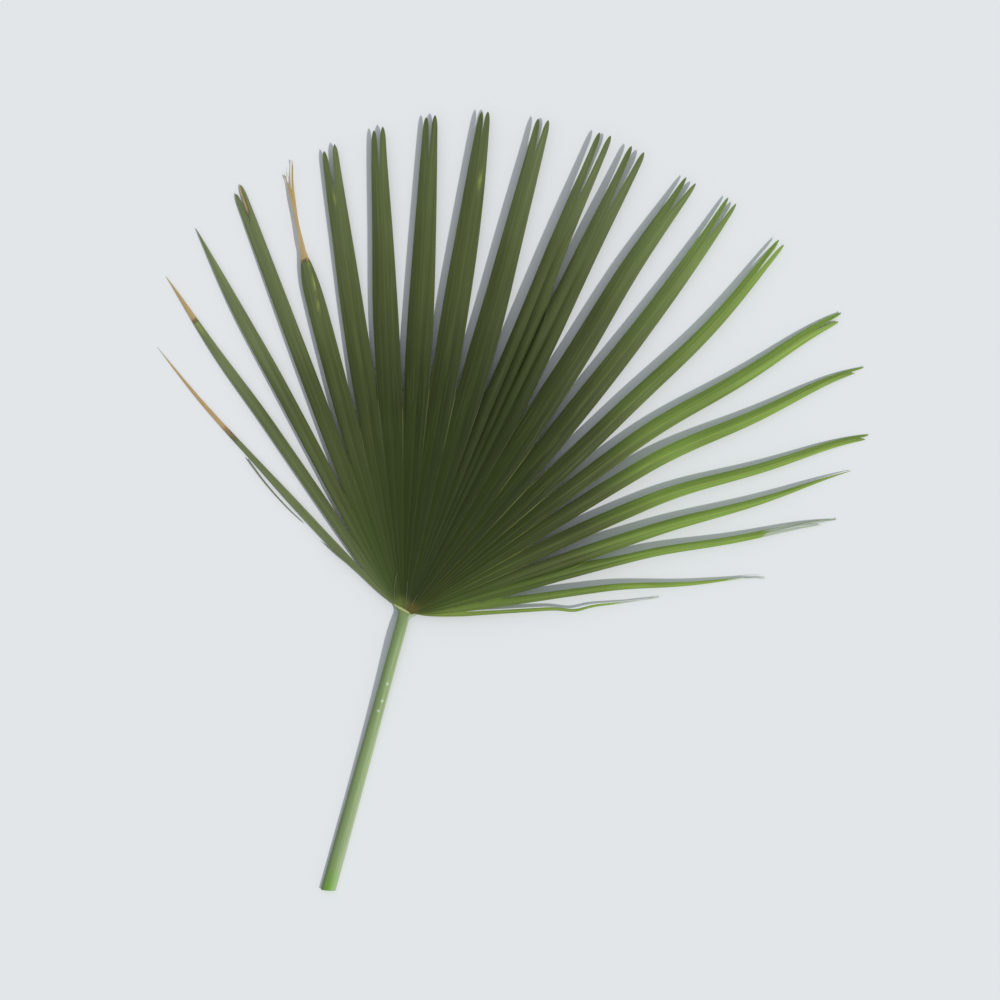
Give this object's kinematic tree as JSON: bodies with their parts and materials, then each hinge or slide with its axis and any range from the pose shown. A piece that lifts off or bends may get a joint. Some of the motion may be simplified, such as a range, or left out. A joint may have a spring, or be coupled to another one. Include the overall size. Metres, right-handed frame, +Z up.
{
  "type": "fan palm leaf",
  "caption": "Cut fan palm leaf lying flat: a pleated fan blade split into narrow pointed segments on a slim stalk.",
  "frame": {"origin": "middle of the leaf's bounding box, on the surface it lies on", "axes": "+Y runs along the stalk from the cut end towards the blade, +Z is up from the surface, with the ribs of the leaf's back upwards"},
  "size_m": [0.5745, 0.6409, 0.0138],
  "materials": {
    "blade": "fresh leaf, satin, slightly see-through",
    "stalk": "fresh green stalk, satin"
  },
  "bodies": {
    "root": {"blade": "blade", "stalk": "stalk"}
  },
  "joints": []
}
